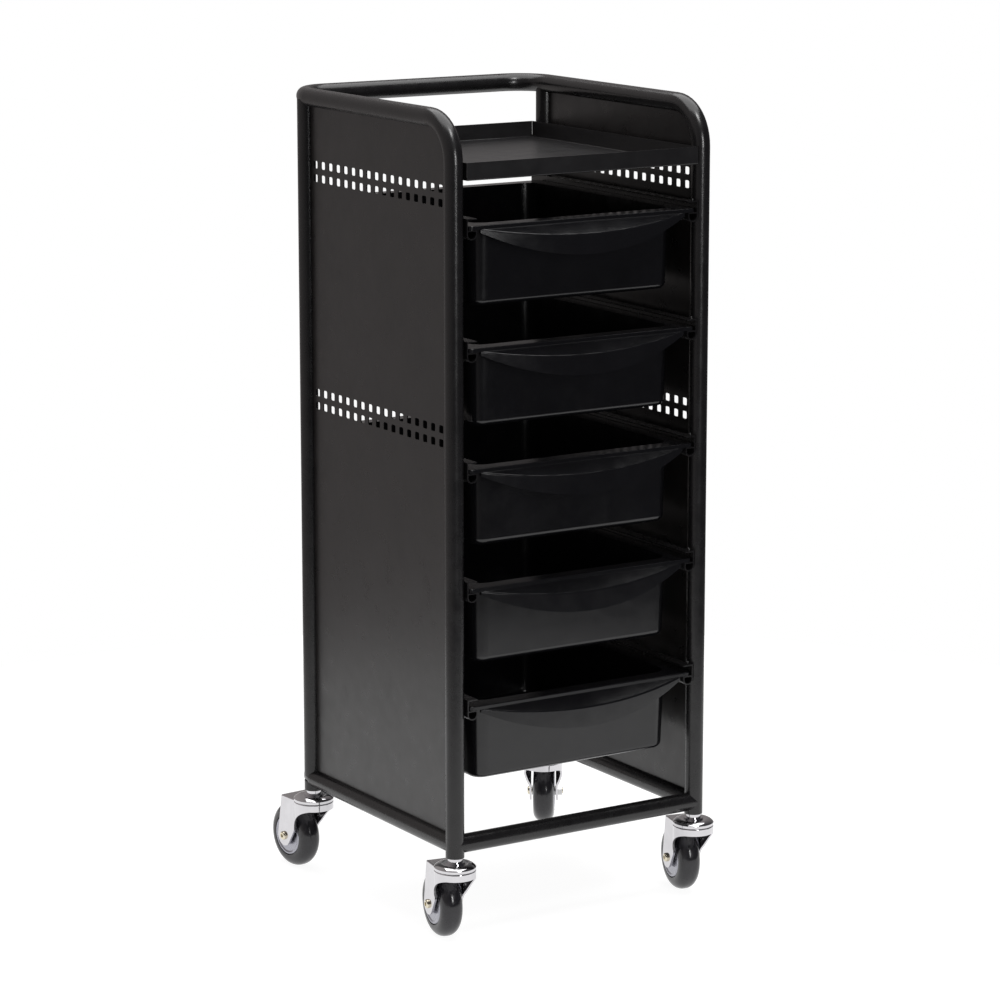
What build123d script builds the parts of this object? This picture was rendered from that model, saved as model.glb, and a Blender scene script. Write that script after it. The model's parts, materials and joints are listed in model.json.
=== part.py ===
from build123d import *
import math
import os

# Rolling salon trolley: a welded tube frame on four castors, two perforated side
# panels, a folded tray on top and five plastic drawers that slide in guides.
# +X is the trolley's right, -Y its front, +Z up; millimetres. The pieces are built
# about the middle of the four posts and moved at the end, so that the origin is the
# middle of the whole footprint, on the floor.

# ---- Frame tubes -------------------------------------------------------------
tube_od = 20.5
tube_wall = 1.5
post_pitch_x = 315.0
post_pitch_y = 311.0
rear_overhang = 31.0
bottom_rail_rise = 14.0
top_rail_z = 895.0
front_bend_r = 45.0
rear_bend_r = 40.0
splice_before_bend = 5.0
saddle_depth = 3.0

# ---- Side panels -------------------------------------------------------------
panel_t = 1.2
perf_edge = 8.0
perf_column_pitch = 16.6
perf_row_pitch = 15.0
perf_rows_per_band = 2
perf_size = 8.6
perf_corner_r = 2.0
perf_band_y = 2.0
perf_band_depths = (81.0, 337.0)  # centre of each band below the top rail's axis

# ---- Tray --------------------------------------------------------------------
tray_t = 1.2
tray_lip_h = 19.0
tray_top_below_rail = 44.0
tray_bend_r = 2.2
tray_seam = 0.5
tray_seam_reach = 8.0

# ---- Drawer guides -----------------------------------------------------------
guide_t = 1.2
guide_w = 12.4
guide_slot_h = 11.2
guide_bead_drop = 4.0
weld_bead_r = 2.2

# ---- Drawers -----------------------------------------------------------------
drawer_count = 5
last_tub_above_rail = 65.0
first_rim_below_rail = 110.5
drawer_travel = 250.0
rim_side_gap = 0.9
rim_rest_gap = 0.3
rim_h = 4.2
rim_t = 2.4
rim_lip_t = 2.0
rim_corner_r = 6.0
rim_edge_r = 0.9
rim_front_overhang = 16.5
rim_rear_overhang = 14.0
rim_side_overhang = 16.5
drawer_rear_gap = 17.5
tub_depth = 88.5
tub_wall = 2.4
tub_corner_r = 19.0
tub_bottom_r = 7.0
tub_draft_deg = 2.0

# ---- Drawer handle -----------------------------------------------------------
handle_tip_gap = 15.0
handle_step = 3.9  # from the rim's top down to the start of the sloping top plate
handle_reach = 18.0
handle_drop = 15.0
handle_tip_h = 4.0
handle_lip_h = 22.0
handle_t = 2.4
handle_edge_r = 2.2
handle_overlap = 3.0

# ---- Castors -----------------------------------------------------------------
wheel_d = 75.0
tyre_w = 25.0
tyre_shoulder_r = 11.5
tyre_t = 13.5
castor_trail = 37.0
swivel_at_rest_deg = {"front_left": 9.5, "front_right": 13.0, "rear_left": -5.0, "rear_right": 35.0}
stem_d = 10.0
stem_length = 22.0
bush_length = 26.0
collar_d = 16.5
collar_h = 6.5
collar_flange_d = 22.0
collar_flange_h = 1.7
kingpin_d = 8.0
kingpin_head_d = 13.0
kingpin_head_h = 2.0
cup_d = 46.0
cup_h = 6.3
cup_t = 1.6
cup_flat_d = 26.0
cup_dome_h = 3.6
ball_count = 12
ball_d = 3.6
ball_ring_r = 16.0
fork_t = 2.2
fork_crown_d = 46.0
fork_crown_h = 8.5
fork_rear_y = 41.0
fork_blend_r = 7.0
fork_foot_r = 12.0
fork_front_leg_y = -16.0
fork_front_edge_deg = 58.0
fork_knee_rise = 22.5
fork_edge_r = 1.4
axle_d = 6.0
axle_head_d = 10.0
axle_head_h = 3.0
axle_socket_d = 4.4
nut_across_flats = 10.0
nut_h = 5.0
nut_chamfer = 0.6
bush_wall = 2.4
hub_boss_r = 9.0
hub_web_t = 8.0
hub_rim_t = 2.6
cover_edge_gap = 1.0
cover_t = 1.1
cover_recess = 0.6
cover_dish = 1.5
cover_rim_h = 1.9
cover_rim_w = 2.0
cover_centre_d = 20.0
swivel_gap = 0.35
pin_clearance = 0.08
wheel_side_gap = 0.4
tyre_side_gap = 2.3
wheel_top_gap = 8.65

# ---- Worked-out places -------------------------------------------------------
wheel_r = wheel_d / 2
axle_z = wheel_r
crown_top_z = wheel_d + wheel_top_gap + fork_t
cup_top_z = crown_top_z + swivel_gap + cup_h
post_bottom_z = cup_top_z + collar_h
bottom_rail_z = post_bottom_z + bottom_rail_rise
tube_r = tube_od / 2
half_x = post_pitch_x / 2
half_y = post_pitch_y / 2
rear_rail_y = half_y + rear_overhang
splice_y = rear_rail_y - rear_bend_r - splice_before_bend
clear_half_x = half_x - tube_r
front_face_y = -half_y - tube_r
rear_face_y = half_y + tube_r
tray_bottom_z = top_rail_z - tray_top_below_rail - tray_lip_h
rim_half_x = clear_half_x - guide_t - rim_side_gap
drawer_d = rear_face_y - front_face_y - drawer_rear_gap
first_rim_z = top_rail_z - first_rim_below_rail
last_rim_z = bottom_rail_z + last_tub_above_rail + tub_depth
drawer_pitch = (first_rim_z - last_rim_z) / (drawer_count - 1)
rim_tops = [first_rim_z - i * drawer_pitch for i in range(drawer_count)]
perf_run = post_pitch_y - tube_od - perf_size - 2 * perf_edge
perf_columns = 1 + int(perf_run / perf_column_pitch)
core_r = wheel_r - tyre_t
cover_r = core_r - cover_edge_gap
fork_outer_w = tyre_w + 2 * (tyre_side_gap + fork_t)
bush_half = fork_outer_w / 2 - fork_t - wheel_side_gap
cover_seat_x = tyre_w / 2 - cover_t - cover_recess
castor_axes = {
    "front_left": (-half_x, -half_y),
    "front_right": (half_x, -half_y),
    "rear_left": (-half_x, half_y),
    "rear_right": (half_x, half_y),
}
SIDES = {"left": -1, "right": 1}
ON_BASE = (Align.CENTER, Align.CENTER, Align.MIN)


def rod(points, bend_r, radius):
    """A round bar along straight runs joined by arcs of one radius."""
    path = FilletPolyline(*points, radius=bend_r) if len(points) > 2 else Line(*points)
    section = Plane(origin=path @ 0, z_dir=path % 0) * Circle(radius)
    return sweep(section, path=path)


def upright(x, y, z_low, z_high, radius):
    """A vertical cylinder between two heights."""
    return Pos(x, y, z_low) * Cylinder(radius, z_high - z_low, align=ON_BASE)


def hollow(points, bend_r):
    """A frame tube along the given run."""
    return rod(points, bend_r, tube_r) - rod(points, bend_r, tube_r - tube_wall)


# ---- Frame -------------------------------------------------------------------
def side_run(side):
    """Front post, front bend and side top rail, up to the splice."""
    x = side * half_x
    return [(x, -half_y, post_bottom_z), (x, -half_y, top_rail_z), (x, splice_y, top_rail_z)]


rear_top_run = [
    (-half_x, splice_y, top_rail_z),
    (-half_x, rear_rail_y, top_rail_z),
    (half_x, rear_rail_y, top_rail_z),
    (half_x, splice_y, top_rail_z),
]
bottom_run = [
    (-half_x, -half_y, bottom_rail_z),
    (-half_x, rear_rail_y, bottom_rail_z),
    (half_x, rear_rail_y, bottom_rail_z),
    (half_x, -half_y, bottom_rail_z),
]
front_run = [(-half_x, -half_y, bottom_rail_z), (half_x, -half_y, bottom_rail_z)]

side_rods = {name: rod(side_run(side), front_bend_r, tube_r) for name, side in SIDES.items()}
rear_top_rod = rod(rear_top_run, rear_bend_r, tube_r)
bottom_rod = rod(bottom_run, rear_bend_r, tube_r)
bush_r = tube_r - tube_wall


def rear_post(side):
    """Upright between the bottom and top rails, saddled onto both."""
    x = side * half_x
    low = bottom_rail_z + saddle_depth
    high = top_rail_z - saddle_depth
    post = upright(x, half_y, low, high, tube_r) - upright(x, half_y, low, high, bush_r)
    name = "left" if side < 0 else "right"
    return post - bottom_rod - rear_top_rod - side_rods[name]


def rear_stub(side):
    """Short tube under the bottom rail that carries the rear castor's bush."""
    x = side * half_x
    high = bottom_rail_z - saddle_depth
    stub = upright(x, half_y, post_bottom_z, high, tube_r)
    return stub - upright(x, half_y, post_bottom_z, high, bush_r) - bottom_rod


def bottom_tube():
    """U-shaped bottom rail, coped to the front posts and drilled for the rear bushes."""
    tube = hollow(bottom_run, rear_bend_r) - side_rods["left"] - side_rods["right"]
    for side in SIDES.values():
        tube -= upright(side * half_x, half_y, post_bottom_z, post_bottom_z + bush_length, bush_r)
    return tube


def panel(side):
    """Perforated sheet in the middle plane of the tubes, trimmed to their surfaces."""
    name = "left" if side < 0 else "right"
    sheet = Pos(0, (bottom_rail_z + top_rail_z) / 2)
    sheet *= Rectangle(post_pitch_y, top_rail_z - bottom_rail_z)
    top_front = sheet.vertices().sort_by(Axis.Y)[-2:].sort_by(Axis.X)[0]
    sheet = fillet(top_front, front_bend_r)
    holes = []
    for depth in perf_band_depths:
        for row in range(perf_rows_per_band):
            z = top_rail_z - depth - (row - (perf_rows_per_band - 1) / 2) * perf_row_pitch
            for column in range(perf_columns):
                y = perf_band_y + (column - (perf_columns - 1) / 2) * perf_column_pitch
                holes.append(Pos(y, z) * RectangleRounded(perf_size, perf_size, perf_corner_r))
    plate = extrude(Plane.YZ.offset(side * half_x) * (sheet - holes), panel_t / 2, both=True)
    rear = upright(side * half_x, half_y, bottom_rail_z, top_rail_z, tube_r)
    return plate - side_rods[name] - rear - bottom_rod - rear_top_rod


def tray():
    """Folded sheet tray between the posts, with an open seam at each corner."""
    width = 2 * clear_half_x
    depth = rear_face_y - front_face_y
    outer = Box(width, depth, tray_lip_h, align=ON_BASE)
    outer = fillet(outer.faces().sort_by(Axis.Z)[0].edges(), tray_bend_r)
    inner = Pos(0, 0, tray_t) * Box(width - 2 * tray_t, depth - 2 * tray_t, tray_lip_h, align=ON_BASE)
    inner = fillet(inner.faces().sort_by(Axis.Z)[0].edges(), tray_bend_r - tray_t)
    folded = outer - inner
    for sx in (-1, 1):
        for sy in (-1, 1):
            cut = Rot(0, 0, 45 * sx * sy) * Box(tray_seam_reach, tray_seam, tray_lip_h, align=ON_BASE)
            folded -= Pos(sx * width / 2, sy * depth / 2, tray_bend_r + tray_t) * cut
    return Pos(0, (front_face_y + rear_face_y) / 2, tray_bottom_z) * folded


# ---- Guides ------------------------------------------------------------------
def guide_section():
    """Channel with a rolled bead under its shelf: x inwards from the post, y up from the shelf."""
    def bar(low_x, high_x, low_y, high_y):
        centre = Pos((low_x + high_x) / 2, (low_y + high_y) / 2)
        return centre * Rectangle(high_x - low_x, high_y - low_y)

    bead_r = guide_w / 2
    section = bar(0, guide_t, -guide_bead_drop, guide_slot_h + guide_t)
    section += bar(0, guide_w, guide_slot_h, guide_slot_h + guide_t)
    section += bar(0, guide_w, -guide_bead_drop, 0)
    inside = bar(guide_t, guide_w - guide_t, -guide_bead_drop, -guide_t)
    below = bar(0, guide_w, -guide_bead_drop - bead_r, -guide_bead_drop)
    section += Pos(bead_r, -guide_bead_drop) * Circle(bead_r) & below
    inside += Pos(bead_r, -guide_bead_drop) * Circle(bead_r - guide_t) & below
    return section - inside


def guide(side, shelf_z):
    """One drawer guide, welded to the inner faces of a front and a rear post."""
    plane = Plane(origin=(clear_half_x, front_face_y, shelf_z), x_dir=(-1, 0, 0), z_dir=(0, 1, 0))
    right = extrude(plane * guide_section(), rear_face_y - front_face_y)
    return right if side > 0 else mirror(right, about=Plane.YZ)


def guide_welds():
    """A weld bead on top of each guide at each post, trimmed to the post."""
    beads = []
    for side in SIDES.values():
        for rim_top in rim_tops:
            z = rim_top - rim_h - rim_rest_gap + guide_slot_h + guide_t
            for y in (-half_y, half_y):
                bead = Pos(side * clear_half_x, y, z) * Sphere(weld_bead_r, arc_size1=0, align=ON_BASE)
                beads.append(bead - upright(side * half_x, y, z, z + tube_od, tube_r))
    return beads


# ---- Drawers -----------------------------------------------------------------
def handle(front_y, top_z):
    """Hollow crescent pull below the rim: a sloping top plate and a lip, widest in the middle."""
    tip = rim_half_x - handle_tip_gap
    big = 2 * tip
    arc_r = (tip**2 + handle_reach**2) / (2 * handle_reach)

    def crescent(inset):
        half_w = math.sqrt((arc_r - inset) ** 2 - (arc_r - handle_reach) ** 2)
        arc = ThreePointArc((-half_w, 0), (0, inset - handle_reach), (half_w, 0))
        back = Polyline(
            (half_w, 0), (half_w, handle_overlap), (-half_w, handle_overlap), (-half_w, 0)
        )
        return extrude(Pos(0, front_y) * make_face([arc, back]), top_z + big, both=True)

    def side_view(points):
        outline = make_face(Polyline(*[(front_y + y, top_z + z) for y, z in points], close=True))
        return extrude(Plane.YZ * outline, big, both=True)

    fall = handle_drop - handle_step
    under_step = handle_step + handle_t * math.hypot(handle_reach, fall) / handle_reach
    outer = side_view([
        (handle_overlap, -rim_t),
        (0, -rim_t),
        (0, -handle_step),
        (-handle_reach, -handle_drop),
        (-handle_reach, -handle_drop - handle_lip_h),
        (0, -handle_step - handle_tip_h),
        (handle_overlap, -handle_step - handle_tip_h),
    ])
    under = side_view([
        (0, -under_step),
        (-handle_reach, -under_step - fall),
        (-handle_reach, -big),
        (0, -big),
    ])
    shape = outer & crescent(0)
    arcs = [e for e in shape.edges() if e.geom_type != GeomType.LINE]
    shape = fillet(ShapeList(arcs).sort_by(Axis.Z)[-1], handle_edge_r)
    return shape - (under & crescent(handle_t))


def drawer(rim_top):
    """Moulded drawer: tapering tub, flanged rim with a turned-down lip, and the handle."""
    front_y = front_face_y
    rear_y = front_y + drawer_d
    tub_w = 2 * (rim_half_x - rim_side_overhang)
    tub_front = front_y + rim_front_overhang
    tub_rear = rear_y - rim_rear_overhang
    tub_y = (tub_front + tub_rear) / 2

    def shell(inset, depth, bottom_r):
        width = tub_w - 2 * inset
        length = tub_rear - tub_front - 2 * inset
        outline = Plane.XY.offset(rim_top) * RectangleRounded(width, length, tub_corner_r - inset)
        block = extrude(outline, -depth, taper=tub_draft_deg)
        return Pos(0, tub_y) * fillet(block.faces().sort_by(Axis.Z)[0].edges(), bottom_r)

    tub = shell(0, tub_depth, tub_bottom_r)
    inside = shell(tub_wall, tub_depth - tub_wall, tub_bottom_r - tub_wall)
    rim_y = (front_y + rear_y) / 2
    rim_outline = RectangleRounded(2 * rim_half_x, drawer_d, rim_corner_r)
    rim = extrude(Plane.XY.offset(rim_top) * Pos(0, rim_y) * rim_outline, -rim_h)
    rim = fillet(rim.faces().sort_by(Axis.Z)[-1].edges(), rim_edge_r)
    lip_outline = RectangleRounded(
        2 * (rim_half_x - rim_lip_t), drawer_d - 2 * rim_lip_t, rim_corner_r - rim_lip_t
    )
    pocket = extrude(Plane.XY.offset(rim_top - rim_t) * Pos(0, rim_y) * lip_outline, rim_t - rim_h)
    return (rim - pocket) + handle(front_y, rim_top) + tub - inside


# ---- Castors -----------------------------------------------------------------
# A castor is built with its swivel axis on Z and its wheel trailing along +Y.
crown_bottom_z = crown_top_z - fork_crown_h
leg_inner_x = fork_outer_w / 2 - fork_t


def stem():
    """Threaded stem, collar and kingpin, with the rivet head that holds the fork."""
    parts = upright(0, 0, post_bottom_z, post_bottom_z + stem_length, stem_d / 2)
    parts += upright(0, 0, cup_top_z, post_bottom_z, collar_d / 2)
    parts += upright(0, 0, cup_top_z, cup_top_z + collar_flange_h, collar_flange_d / 2)
    head_top = crown_top_z - fork_t - swivel_gap
    parts += upright(0, 0, head_top - kingpin_head_h, cup_top_z, kingpin_d / 2)
    parts += upright(0, 0, head_top - kingpin_head_h, head_top, kingpin_head_d / 2)
    return parts


def castor_bush():
    """Steel bush inside the foot of a post, bored for the stem."""
    top = post_bottom_z + bush_length
    return upright(0, 0, post_bottom_z, top, bush_r) - upright(0, 0, post_bottom_z, top, stem_d / 2)


def top_cup():
    """Pressed, domed cup over the ball race, on the kingpin."""
    pin_r = kingpin_d / 2
    flat_r = cup_flat_d / 2
    rim_r = cup_d / 2
    under_z = cup_top_z - cup_t
    rim_z = cup_top_z - cup_dome_h
    bottom_z = cup_top_z - cup_h
    dome_r = (flat_r + rim_r) / 2 + 2 * cup_dome_h / 3
    dome_z = cup_top_z - cup_dome_h / 3
    outline = [
        Line((pin_r, under_z), (pin_r, cup_top_z)),
        Line((pin_r, cup_top_z), (flat_r, cup_top_z)),
        ThreePointArc((flat_r, cup_top_z), (dome_r, dome_z), (rim_r, rim_z)),
        Line((rim_r, rim_z), (rim_r, bottom_z)),
        Line((rim_r, bottom_z), (rim_r - cup_t, bottom_z)),
        Line((rim_r - cup_t, bottom_z), (rim_r - cup_t, rim_z)),
        ThreePointArc((rim_r - cup_t, rim_z), (dome_r - cup_t / 2, dome_z - cup_t), (flat_r, under_z)),
        Line((flat_r, under_z), (pin_r, under_z)),
    ]
    return revolve(Plane.XZ * make_face(outline), Axis.Z)


def ball_race():
    """Loose balls between the cup and the fork's crown."""
    z = cup_top_z - cup_h + ball_d / 2
    ring_places = PolarLocations(ball_ring_r, ball_count)
    return [Pos(0, 0, z) * place * Sphere(ball_d / 2) for place in ring_places]


def fork():
    """Pressed fork: a round crown that runs back into two flat legs, open behind."""
    def outline(inset):
        crown_r = fork_crown_d / 2 - inset
        half_w = fork_outer_w / 2 - inset
        rear = castor_trail + fork_foot_r + 1
        arm = Pos(0, rear / 2) * Rectangle(2 * half_w, rear)
        plan = Circle(crown_r) + arm
        corner_y = math.sqrt(crown_r**2 - half_w**2)
        corners = [v for v in plan.vertices() if abs(v.Y - corner_y) < 0.01]
        return fillet(corners, fork_blend_r + inset)

    body = extrude(outline(0), crown_top_z)
    body = fillet(body.faces().sort_by(Axis.Z)[-1].edges(), fork_edge_r)
    inside = extrude(outline(fork_t), crown_top_z - fork_t)
    open_rear = Pos(0, castor_trail + fork_foot_r) * Rectangle(2 * leg_inner_x, 4 * fork_t)
    body = body - inside - extrude(open_rear, crown_top_z - fork_t)
    front = -fork_crown_d / 2 - 1
    slope = math.radians(fork_front_edge_deg)
    rear = (castor_trail + fork_foot_r, axle_z)
    toe = (castor_trail - fork_foot_r * math.sin(slope), axle_z - fork_foot_r * math.cos(slope))
    knee_z = axle_z + fork_knee_rise
    knee = (toe[0] - (knee_z - toe[1]) / math.tan(slope), knee_z)
    web_end = (fork_front_leg_y, crown_bottom_z)
    side_outline = [
        Polyline(
            web_end,
            (front, crown_bottom_z),
            (front, crown_top_z + 1),
            (fork_rear_y, crown_top_z + 1),
            rear,
        ),
        ThreePointArc(rear, (castor_trail, axle_z - fork_foot_r), toe),
        Line(toe, knee),
        TangentArc(knee, web_end, tangent=(-math.cos(slope), math.sin(slope))),
    ]
    profile = extrude(Plane.YZ * make_face(side_outline), fork_crown_d, both=True)
    body = body & profile
    body -= upright(0, 0, 0, crown_top_z + 1, kingpin_d / 2 + pin_clearance)
    return body - across(axle_d / 2, -fork_outer_w, fork_outer_w)


def across(radius, low_x, high_x):
    """A cylinder along X at the wheel's axle."""
    place = Pos(low_x, castor_trail, axle_z) * Rot(0, 90, 0)
    return place * Cylinder(radius, high_x - low_x, align=ON_BASE)


def axle_bolt():
    """Axle with a domed, socketed head on the left leg."""
    face = fork_outer_w / 2
    head = across(axle_head_d / 2, -face - axle_head_h, -face)
    head = fillet(head.edges().sort_by(Axis.X)[0], axle_head_h * 0.6)
    head -= across(axle_socket_d / 2, -face - axle_head_h, -face - axle_head_h / 2)
    return head + across(axle_d / 2, -face, face + nut_h + 1)


def axle_nut():
    """Hexagon nut on the right leg."""
    face = fork_outer_w / 2
    hexagon = RegularPolygon(nut_across_flats / 2, 6, major_radius=False)
    plane = Plane(origin=(face, castor_trail, axle_z), z_dir=(1, 0, 0))
    nut = extrude(plane * hexagon, nut_h)
    nut = chamfer(nut.faces().sort_by(Axis.X)[-1].edges(), nut_chamfer)
    return nut - across(axle_d / 2, face - 1, face + nut_h + 1)


def tyre():
    """Round-shouldered tread ring."""
    profile = Pos(0, (wheel_r + core_r) / 2) * Rectangle(tyre_w, tyre_t)
    outer = profile.vertices().sort_by(Axis.Y)[-2:]
    solid = revolve(fillet(outer, tyre_shoulder_r), Axis.X)
    return Pos(0, castor_trail, axle_z) * solid


def wheel_bush():
    """Spacer tube that turns on the axle between the legs."""
    bore = axle_d / 2 + pin_clearance
    return across(bore + bush_wall, -bush_half, bush_half) - across(bore, -bush_half, bush_half)


def wheel_core():
    """Moulded centre: rim, web and boss."""
    bore = axle_d / 2 + pin_clearance + bush_wall
    core = across(core_r, -cover_seat_x, cover_seat_x)
    for sign in (-1, 1):
        low, high = sorted((sign * hub_web_t / 2, sign * cover_seat_x))
        groove = across(core_r - hub_rim_t, low, high) - across(hub_boss_r, low, high)
        core -= groove
    return core - across(bore, -cover_seat_x, cover_seat_x)


def wheel_covers():
    """Pressed dust covers with a rolled rim, one on each face of the wheel."""
    bore = axle_d / 2 + pin_clearance + bush_wall
    boss_r = cover_centre_d / 2
    face_x = cover_seat_x + cover_t
    boss_x = cover_seat_x + cover_dish
    rim_x = cover_seat_x + cover_rim_h
    points = [
        (cover_seat_x, bore),
        (boss_x, bore),
        (boss_x, boss_r),
        (face_x, boss_r + 2 * cover_dish),
        (face_x, cover_r - 2 * cover_rim_w),
        (rim_x, cover_r - cover_rim_w),
        (rim_x, cover_r - cover_rim_w / 3),
        (face_x, cover_r),
        (cover_seat_x, cover_r),
    ]
    right = Pos(0, castor_trail, axle_z) * revolve(make_face(Polyline(*points, close=True)), Axis.X)
    return [right, mirror(right, about=Plane.YZ)]


def placed(shape, corner):
    """Turn a castor piece to its rest heading and stand it under its post."""
    x, y = castor_axes[corner]
    return Pos(x, y) * Rot(0, 0, -swivel_at_rest_deg[corner]) * shape


# ---- All nodes ---------------------------------------------------------------
nodes = {}
for side_name, side_sign in SIDES.items():
    nodes[f"{side_name}_side_tube"] = hollow(side_run(side_sign), front_bend_r)
    nodes[f"{side_name}_rear_post"] = rear_post(side_sign)
    nodes[f"{side_name}_panel"] = panel(side_sign)
nodes["rear_top_tube"] = hollow(rear_top_run, rear_bend_r)
nodes["bottom_tube"] = bottom_tube()
nodes["front_cross_tube"] = hollow(front_run, 0) - side_rods["left"] - side_rods["right"] - bottom_rod
nodes["rear_castor_stubs"] = [rear_stub(side) for side in SIDES.values()]
nodes["tray"] = tray()
for number, rim_top in enumerate(rim_tops, start=1):
    for side_name, side_sign in SIDES.items():
        nodes[f"{side_name}_guide_{number}"] = guide(side_sign, rim_top - rim_h - rim_rest_gap)
    nodes[f"drawer_{number}"] = drawer(rim_top)
nodes["guide_welds"] = guide_welds()

fixed_castor_pieces = {
    "castor_bushes": [castor_bush()],
    "castor_stems": [stem()],
    "castor_cups": [top_cup()],
    "castor_balls": ball_race(),
}
for name, pieces in fixed_castor_pieces.items():
    nodes[name] = [placed(piece, corner) for corner in castor_axes for piece in pieces]
moving_castor_pieces = {
    "fork": fork(),
    "axle_bolt": axle_bolt(),
    "axle_nut": axle_nut(),
    "tyre": tyre(),
    "wheel_core": wheel_core(),
    "wheel_bush": wheel_bush(),
    "wheel_covers": wheel_covers(),
}
for corner in castor_axes:
    for name, piece in moving_castor_pieces.items():
        pieces = piece if isinstance(piece, list) else [piece]
        nodes[f"{corner}_{name}"] = [placed(item, corner) for item in pieces]

# ---- Origin at the middle of the footprint, and export ------------------------
everything = [p for piece in nodes.values() for p in (piece if isinstance(piece, list) else [piece])]
footprint = Compound([solid for shape in everything for solid in shape.solids()]).bounding_box()
origin_x = footprint.center().X
origin_y = footprint.center().Y
os.makedirs("parts", exist_ok=True)
for name, piece in nodes.items():
    solids = [s for shape in (piece if isinstance(piece, list) else [piece]) for s in shape.solids()]
    shape = solids[0] if len(solids) == 1 else Compound(solids)
    export_step(Pos(-origin_x, -origin_y) * shape, f"parts/{name}.step")
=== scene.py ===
import json
import math

import bmesh
import bpy
from mathutils import Matrix, Vector


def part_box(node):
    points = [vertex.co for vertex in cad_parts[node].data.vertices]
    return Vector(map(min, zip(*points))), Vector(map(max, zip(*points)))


# Rolling salon trolley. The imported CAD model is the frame, and all of it is shown as it is.
# This file adds the finishes, the floor, the lights and the camera.

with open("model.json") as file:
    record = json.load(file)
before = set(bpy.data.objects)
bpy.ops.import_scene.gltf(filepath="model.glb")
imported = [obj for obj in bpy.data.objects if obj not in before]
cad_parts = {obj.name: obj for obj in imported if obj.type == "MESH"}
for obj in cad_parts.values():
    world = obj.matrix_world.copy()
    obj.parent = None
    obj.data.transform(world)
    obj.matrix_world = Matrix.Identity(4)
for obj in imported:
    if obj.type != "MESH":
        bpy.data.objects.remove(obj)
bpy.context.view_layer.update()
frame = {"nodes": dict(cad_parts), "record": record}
nodes = frame["nodes"]


# ---- Places read from the frame ----------------------------------------------
def middle(node):
    """The middle of a node's box."""
    low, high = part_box(node)
    return (low + high) / 2


left_x = middle("left_rear_post").x
right_x = middle("right_rear_post").x
rear_y = middle("left_rear_post").y
front_y = middle("front_cross_tube").y
posts_x = (left_x + right_x) / 2
posts_y = (front_y + rear_y) / 2


# ---- Materials ---------------------------------------------------------------
def new_material(name, color, roughness, metallic=0.0):
    """A material with its plain values on the shader's own sockets."""
    material = bpy.data.materials.new(name)
    material.use_nodes = True
    shader = material.node_tree.nodes["Principled BSDF"]
    shader.inputs["Base Color"].default_value = (*color, 1)
    shader.inputs["Roughness"].default_value = roughness
    shader.inputs["Metallic"].default_value = metallic
    return material, material.node_tree, shader


def noise_of(tree, scale, detail=3.0, stretch=(1, 1, 1), roughness=0.55):
    """Noise in the object's own metres; scale is in cells per metre."""
    coords = tree.nodes.new("ShaderNodeTexCoord")
    mapping = tree.nodes.new("ShaderNodeMapping")
    mapping.inputs["Scale"].default_value = stretch
    noise = tree.nodes.new("ShaderNodeTexNoise")
    noise.inputs["Scale"].default_value = scale
    noise.inputs["Detail"].default_value = detail
    noise.inputs["Roughness"].default_value = roughness
    tree.links.new(coords.outputs["Object"], mapping.inputs["Vector"])
    tree.links.new(mapping.outputs["Vector"], noise.inputs["Vector"])
    return noise.outputs["Fac"]


def ranged(tree, value, low, high, from_low=0.3, from_high=0.7):
    """Maps the middle of a noise onto a range of values."""
    node = tree.nodes.new("ShaderNodeMapRange")
    node.inputs["From Min"].default_value = from_low
    node.inputs["From Max"].default_value = from_high
    node.inputs["To Min"].default_value = low
    node.inputs["To Max"].default_value = high
    tree.links.new(value, node.inputs["Value"])
    return node.outputs["Result"]


def mixed(tree, factor, color_a, color_b):
    """A colour between two, by a factor."""
    node = tree.nodes.new("ShaderNodeMix")
    node.data_type = "RGBA"
    node.inputs["A"].default_value = (*color_a, 1)
    node.inputs["B"].default_value = (*color_b, 1)
    tree.links.new(factor, node.inputs["Factor"])
    return node.outputs["Result"]


def bumped(tree, shader, layers):
    """Chains bump layers of (height, strength, distance in metres) into the shader."""
    normal = None
    for height, strength, distance in layers:
        bump = tree.nodes.new("ShaderNodeBump")
        bump.inputs["Strength"].default_value = strength
        bump.inputs["Distance"].default_value = distance
        tree.links.new(height, bump.inputs["Height"])
        if normal:
            tree.links.new(normal, bump.inputs["Normal"])
        normal = bump.outputs["Normal"]
    tree.links.new(normal, shader.inputs["Normal"])


def powder_coat(name, color, roughness, peel=0.18):
    """Baked powder coat: a fine orange peel with patches a little duller than others."""
    material, tree, shader = new_material(name, color, roughness)
    patches = noise_of(tree, 22, 4)
    darker = tuple(c * 0.8 for c in color)
    lighter = tuple(c * 1.25 for c in color)
    tree.links.new(mixed(tree, ranged(tree, patches, 0, 1), darker, lighter), shader.inputs["Base Color"])
    wear = noise_of(tree, 60, 5)
    tree.links.new(ranged(tree, wear, roughness - 0.04, roughness + 0.05), shader.inputs["Roughness"])
    peel_height = noise_of(tree, 900, 2)
    waves = noise_of(tree, 70, 2)
    bumped(tree, shader, [(waves, 0.15, 0.0006), (peel_height, peel, 0.0001)])
    return material


def moulded_plastic(name, color, roughness):
    """Injection-moulded plastic: fine spark grain and faint flow marks."""
    material, tree, shader = new_material(name, color, roughness)
    flow = noise_of(tree, 14, 3, stretch=(1, 1, 0.35))
    darker = tuple(c * 0.85 for c in color)
    lighter = tuple(c * 1.2 for c in color)
    tree.links.new(mixed(tree, ranged(tree, flow, 0, 1), darker, lighter), shader.inputs["Base Color"])
    scuffs = noise_of(tree, 45, 6, roughness=0.7)
    tree.links.new(ranged(tree, scuffs, roughness - 0.03, roughness + 0.07), shader.inputs["Roughness"])
    grain = noise_of(tree, 1600, 2)
    sink = noise_of(tree, 30, 1)
    bumped(tree, shader, [(sink, 0.12, 0.0008), (grain, 0.1, 0.00006)])
    return material


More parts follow.
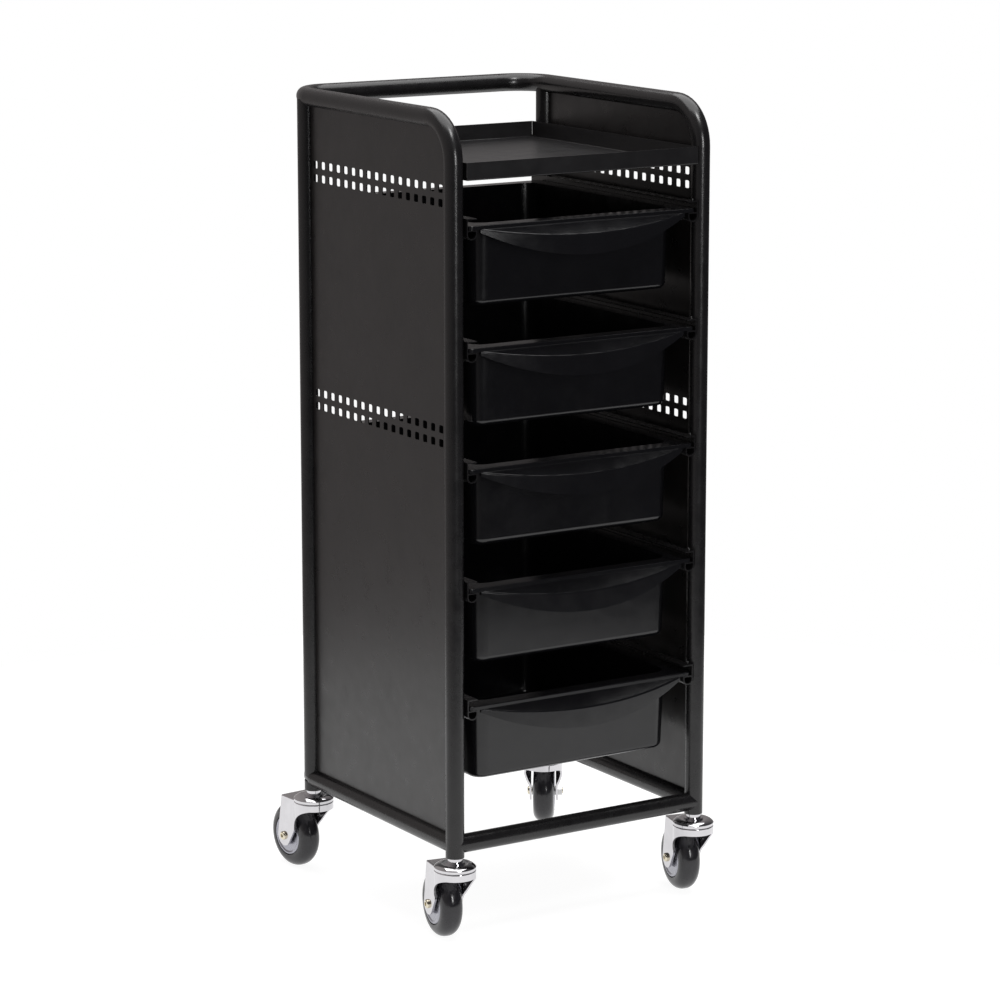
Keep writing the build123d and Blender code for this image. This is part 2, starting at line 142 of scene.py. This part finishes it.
def plated(name, color, roughness, ripple=0.08):
    """Plated steel: a bright metal with slight pressing waves and fine handling marks."""
    material, tree, shader = new_material(name, color, roughness, metallic=1.0)
    marks = noise_of(tree, 300, 6, roughness=0.7)
    tree.links.new(ranged(tree, marks, roughness * 0.7, roughness * 1.5), shader.inputs["Roughness"])
    cloud = noise_of(tree, 80, 2)
    darker = tuple(c * 0.93 for c in color)
    tree.links.new(mixed(tree, ranged(tree, cloud, 0, 1), darker, color), shader.inputs["Base Color"])
    waves = noise_of(tree, 110, 2)
    bumped(tree, shader, [(waves, ripple, 0.0005)])
    return material


def rubber(name, color, roughness):
    """Polyurethane tread: smooth, with a faint mould bloom and dust."""
    material, tree, shader = new_material(name, color, roughness)
    dust = noise_of(tree, 160, 6, roughness=0.65)
    dusty = tuple(c * 1.6 for c in color)
    amount = ranged(tree, dust, 0, 1, 0.45, 0.75)
    tree.links.new(mixed(tree, amount, color, dusty), shader.inputs["Base Color"])
    tree.links.new(ranged(tree, dust, roughness - 0.05, roughness + 0.1), shader.inputs["Roughness"])
    bumped(tree, shader, [(noise_of(tree, 500, 3), 0.1, 0.0002)])
    return material


MATERIALS = {
    "frame_powder_coat": powder_coat("frame_powder_coat", (0.0075, 0.007, 0.0075), 0.26),
    "panel_powder_coat": powder_coat("panel_powder_coat", (0.012, 0.0105, 0.0105), 0.3),
    "tray_powder_coat": powder_coat("tray_powder_coat", (0.009, 0.0085, 0.0092), 0.34),
    "drawer_plastic": moulded_plastic("drawer_plastic", (0.0045, 0.0044, 0.0053), 0.18),
    "chrome": plated("chrome", (0.64, 0.63, 0.65), 0.07),
    "axle_bolt_plated": plated("axle_bolt_plated", (0.72, 0.66, 0.52), 0.16),
    "zinc_steel": plated("zinc_steel", (0.6, 0.6, 0.6), 0.25),
    "tyre": rubber("tyre", (0.015, 0.0145, 0.017), 0.15),
    "wheel_core_plastic": moulded_plastic("wheel_core_plastic", (0.1, 0.1, 0.105), 0.4),
    "wheel_cover_metal": plated("wheel_cover_metal", (0.36, 0.36, 0.4), 0.24),
    "wheel_bush_steel": plated("wheel_bush_steel", (0.5, 0.5, 0.5), 0.3),
}
slot_of = {part["node"]: part["material_slot"] for part in frame["record"]["subparts"]}
for node_name, node in nodes.items():
    node.data.materials.clear()
    node.data.materials.append(MATERIALS[slot_of[node_name]])


# ---- Stage, lights and camera --------------------------------------------------
def world_light(dark_side, light_side, towards):
    """White for the camera; for light and reflections a dim room that is lighter on one side."""
    world = bpy.data.worlds.new("studio")
    world.use_nodes = True
    tree = world.node_tree
    tree.nodes.clear()
    output = tree.nodes.new("ShaderNodeOutputWorld")
    seen = tree.nodes.new("ShaderNodeBackground")
    seen.inputs["Color"].default_value = (1, 1, 1, 1)
    room = tree.nodes.new("ShaderNodeBackground")
    direction = tree.nodes.new("ShaderNodeTexCoord")
    along = tree.nodes.new("ShaderNodeVectorMath")
    along.operation = "DOT_PRODUCT"
    along.inputs[1].default_value = Vector(towards).normalized()
    tree.links.new(direction.outputs["Generated"], along.inputs[0])
    side = ranged(tree, along.outputs["Value"], 0, 1, -0.6, 0.8)
    tree.links.new(mixed(tree, side, dark_side, light_side), room.inputs["Color"])
    path = tree.nodes.new("ShaderNodeLightPath")
    mix = tree.nodes.new("ShaderNodeMixShader")
    tree.links.new(path.outputs["Is Camera Ray"], mix.inputs["Fac"])
    tree.links.new(room.outputs["Background"], mix.inputs[1])
    tree.links.new(seen.outputs["Background"], mix.inputs[2])
    tree.links.new(mix.outputs["Shader"], output.inputs["Surface"])
    bpy.context.scene.world = world


def floor(radius):
    """A round pale floor under the trolley."""
    mesh = bpy.data.meshes.new("floor")
    shape = bmesh.new()
    bmesh.ops.create_circle(shape, cap_ends=True, segments=96, radius=radius)
    shape.to_mesh(mesh)
    shape.free()
    disc = bpy.data.objects.new("floor", mesh)
    bpy.context.scene.collection.objects.link(disc)
    material, tree, shader = new_material("floor", (0.25, 0.25, 0.25), 0.8)
    tone = noise_of(tree, 3, 2)
    tree.links.new(mixed(tree, tone, (0.22, 0.22, 0.22), (0.24, 0.24, 0.24)), shader.inputs["Base Color"])
    shader.inputs["Specular IOR Level"].default_value = 0.0
    shader.inputs["Emission Color"].default_value = (1, 1, 1, 1)
    shader.inputs["Emission Strength"].default_value = 0.93
    mesh.materials.append(material)


def area_light(name, place, target, width, height, power):
    """A soft box that faces a point."""
    light = bpy.data.lights.new(name, "AREA")
    light.shape = "RECTANGLE"
    light.size = width
    light.size_y = height
    light.energy = power
    lamp = bpy.data.objects.new(name, light)
    lamp.location = place
    lamp.rotation_mode = "QUATERNION"
    lamp.rotation_quaternion = (Vector(target) - Vector(place)).to_track_quat("-Z", "Y")
    bpy.context.scene.collection.objects.link(lamp)


def camera(place, yaw, pitch, focal):
    """A camera by its heading from +Y towards +X, its dip below the horizon and its lens in metres."""
    data = bpy.data.cameras.new("camera")
    data.sensor_width = 36.0
    data.lens = focal * 1000
    data.clip_end = 50
    eye = bpy.data.objects.new("camera", data)
    turn = Matrix.Rotation(-yaw, 3, "Z") @ Matrix.Rotation(math.pi / 2 - pitch, 3, "X")
    eye.rotation_mode = "QUATERNION"
    eye.rotation_quaternion = turn.to_quaternion()
    eye.location = place
    bpy.context.scene.collection.objects.link(eye)
    bpy.context.scene.camera = eye


world_light(dark_side=(0.045, 0.045, 0.05), light_side=(0.38, 0.355, 0.35), towards=(-0.55, 0.8, 0))
floor(radius=1.2)
area_light("ceiling", (0.2, 0.2, 2.6), target=(0, 0, 0), width=2.6, height=2.6, power=60)
area_light("front_box", (-0.15, -2.7, 1.15), target=(0, 0, 0.75), width=0.35, height=1.1, power=20)
area_light("top_box", (0.05, -1.1, 2.5), target=(0, 0, 0.6), width=0.5, height=0.5, power=12)
camera_left = 2.1251
camera_in_front = 3.3614
camera_height = 1.2725
camera(
    (posts_x - camera_left, posts_y - camera_in_front, camera_height),
    yaw=math.radians(32.28),
    pitch=math.radians(11.705),
    focal=0.1306,
)
bpy.context.scene.view_settings.view_transform = "Standard"
